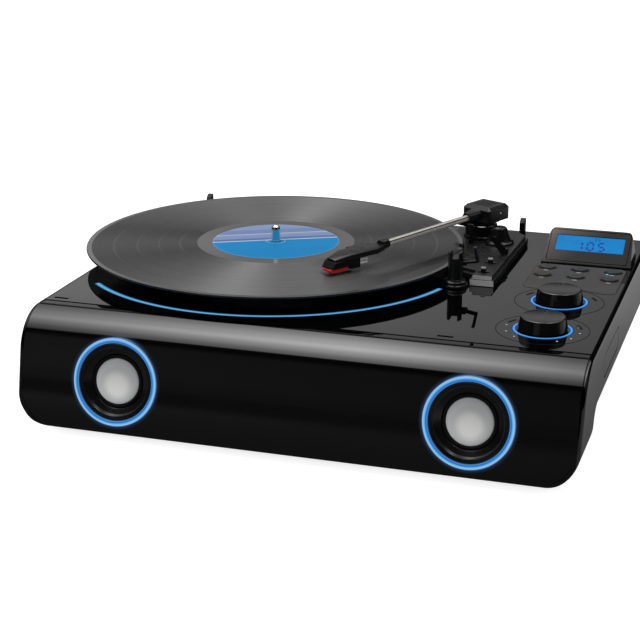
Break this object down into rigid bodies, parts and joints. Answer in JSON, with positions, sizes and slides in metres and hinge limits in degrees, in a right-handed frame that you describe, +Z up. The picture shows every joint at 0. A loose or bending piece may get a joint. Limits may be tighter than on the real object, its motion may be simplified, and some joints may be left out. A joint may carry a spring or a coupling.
{
  "type": "turntable",
  "caption": "Record turntable with a pivoted arm, a tilted display, push buttons, rotary knobs, a side cassette slot and built-in front speakers.",
  "frame": {"origin": "under the middle of the whole object's box, on the surface the feet stand on", "axes": "+X to the right seen from the front, +Y to the rear, +Z up"},
  "size_m": [0.4318, 0.3579, 0.1215],
  "materials": {
    "gloss_black": "mirror gloss",
    "satin_black": "satin",
    "matte_black": "matte",
    "vinyl": "grooved gloss",
    "blue_light": "diffusing light guide",
    "chrome": "polished",
    "steel": "brushed",
    "silver": "satin silver",
    "red_plastic": "translucent gloss",
    "pale_cap": "satin",
    "rubber": "matte",
    "display": "lit liquid crystal display",
    "board_green": "solder resist",
    "brass": "turned"
  },
  "bodies": {
    "cabinet": {"arm_pedestal": "satin_black", "arm_rest": "satin_black", "bearing_sleeve": "brass", "bottom_cover": "satin_black", "cabinet_shell": "gloss_black", "cassette_mechanism": "steel", "connector_panel": "matte_black", "control_panel": "gloss_black", "cue_damper_cap": "satin_black", "drive_belt": "rubber", "drive_motor": "steel", "foot_front_left": "rubber", "foot_front_right": "rubber", "foot_rear_left": "rubber", "foot_rear_right": "rubber", "front_panel": "gloss_black", "function_knob_light_ring": "blue_light", "hinge_lug_left": "satin_black", "hinge_lug_right": "satin_black", "lcd_frame": "gloss_black", "lcd_housing": "gloss_black", "lcd_module": "display", "led_light_arc": "blue_light", "main_circuit_board": "board_green", "rotary_switch": "steel", "speaker_driver_left": "satin_black", "speaker_driver_right": "satin_black", "speaker_light_ring_left": "blue_light", "speaker_light_ring_right": "blue_light", "tonearm_base": "satin_black", "top_deck": "gloss_black", "volume_knob_light_ring": "blue_light", "volume_potentiometer": "steel"},
    "turntable": {"platter": "satin_black", "record": "vinyl", "spindle": "chrome"},
    "pulley": {"motor_pulley": "brass"},
    "arm_turret": {"arm_yoke": "satin_black", "arm_pivot_pin": "chrome"},
    "arm": {"arm_housing": "satin_black", "arm_tube": "chrome", "headshell": "satin_black", "cartridge": "satin_black", "stylus": "red_plastic"},
    "cue_lever": {"cue_lever": "satin_black"},
    "cue_lifter": {"cue_lifter": "satin_black"},
    "rest_clip": {"arm_rest_clip": "satin_black"},
    "speed_switch": {"speed_switch": "pale_cap"},
    "auto_stop_switch": {"auto_stop_switch": "pale_cap"},
    "function_knob": {"function_knob": "gloss_black"},
    "volume_knob": {"volume_knob": "gloss_black"},
    "side_door": {"side_door": "gloss_black"},
    "left_cone": {"speaker_cone_left": "silver"},
    "right_cone": {"speaker_cone_right": "silver"},
    "play_button": {"play_button": "satin_black"},
    "stop_button": {"stop_button": "satin_black"},
    "skip_up_button": {"skip_up_button": "satin_black"},
    "program_button": {"program_button": "satin_black"},
    "preset_button": {"preset_button": "satin_black"},
    "skip_down_button": {"skip_down_button": "satin_black"}
  },
  "joints": [
    {"name": "platter_spin", "type": "hinge", "parent": "cabinet", "child": "turntable", "pos_m": [-0.06513, 0.02778, 0.087], "axis": [0, 0, -1], "continuous": true},
    {"name": "motor_spin", "type": "hinge", "parent": "cabinet", "child": "pulley", "pos_m": [-0.12452, 0.08717, 0.087], "axis": [0, 0, -1], "continuous": true},
    {"name": "arm_swing", "type": "hinge", "parent": "cabinet", "child": "arm_turret", "pos_m": [0.08438, 0.11217, 0.087], "axis": [0, 0, 1], "range_deg": [-15, 19.5]},
    {"name": "arm_lift", "type": "hinge", "parent": "arm_turret", "child": "arm", "pos_m": [0.08751, 0.1191, 0.115], "axis": [-0.911, 0.4123, 0], "range_deg": [0, 8]},
    {"name": "cue_lever_turn", "type": "hinge", "parent": "cabinet", "child": "cue_lever", "pos_m": [0.11338, 0.06218, 0.0975], "axis": [0, 1, 0], "range_deg": [0, 46]},
    {"name": "cue_lifter_rise", "type": "slide", "parent": "cabinet", "child": "cue_lifter", "axis": [0, 0, 1], "range_m": [0, 0.0045]},
    {"name": "rest_clip_turn", "type": "hinge", "parent": "cabinet", "child": "rest_clip", "pos_m": [0.09798, -0.00522, 0.1063], "axis": [0, 1, 0], "range_deg": [-80, 0]},
    {"name": "speed_switch_slide", "type": "slide", "parent": "cabinet", "child": "speed_switch", "axis": [1, 0, 0], "range_m": [-0.0026, 0.0026]},
    {"name": "auto_stop_switch_slide", "type": "slide", "parent": "cabinet", "child": "auto_stop_switch", "axis": [1, 0, 0], "range_m": [-0.0026, 0.0026]},
    {"name": "function_knob_turn", "type": "hinge", "parent": "cabinet", "child": "function_knob", "pos_m": [0.17228, -0.02063, 0.087], "axis": [0, 0, -1], "range_deg": [-60, 60]},
    {"name": "volume_knob_turn", "type": "hinge", "parent": "cabinet", "child": "volume_knob", "pos_m": [0.17228, -0.08853, 0.087], "axis": [0, 0, -1], "range_deg": [-150, 150]},
    {"name": "side_door_turn", "type": "hinge", "parent": "cabinet", "child": "side_door", "pos_m": [0.21108, -0.08322, 0.0687], "axis": [0, 1, 0], "range_deg": [0, 75], "stiffness_Nm_per_rad": 0.002, "springref_deg": -11.46},
    {"name": "left_cone_slide", "type": "slide", "parent": "cabinet", "child": "left_cone", "axis": [0, 0.9816, -0.1908], "range_m": [-0.0008, 0.0008], "stiffness_N_per_m": 1500},
    {"name": "right_cone_slide", "type": "slide", "parent": "cabinet", "child": "right_cone", "axis": [0, 0.9816, -0.1908], "range_m": [-0.0008, 0.0008], "stiffness_N_per_m": 1500},
    {"name": "play_button_press", "type": "slide", "parent": "cabinet", "child": "play_button", "axis": [0, 0, -1], "range_m": [0, 0.001], "stiffness_N_per_m": 400},
    {"name": "stop_button_press", "type": "slide", "parent": "cabinet", "child": "stop_button", "axis": [0, 0, -1], "range_m": [0, 0.001], "stiffness_N_per_m": 400},
    {"name": "skip_up_button_press", "type": "slide", "parent": "cabinet", "child": "skip_up_button", "axis": [0, 0, -1], "range_m": [0, 0.001], "stiffness_N_per_m": 400},
    {"name": "program_button_press", "type": "slide", "parent": "cabinet", "child": "program_button", "axis": [0, 0, -1], "range_m": [0, 0.001], "stiffness_N_per_m": 400},
    {"name": "preset_button_press", "type": "slide", "parent": "cabinet", "child": "preset_button", "axis": [0, 0, -1], "range_m": [0, 0.001], "stiffness_N_per_m": 400},
    {"name": "skip_down_button_press", "type": "slide", "parent": "cabinet", "child": "skip_down_button", "axis": [0, 0, -1], "range_m": [0, 0.001], "stiffness_N_per_m": 400}
  ],
  "couplings": [
    {"joint": "motor_spin", "follows": "platter_spin", "ratio": 10.167},
    {"joint": "cue_lever_turn", "follows": "arm_lift", "ratio": 5.625},
    {"joint": "cue_lifter_rise", "follows": "arm_lift", "m_per_rad": 0.031}
  ]
}
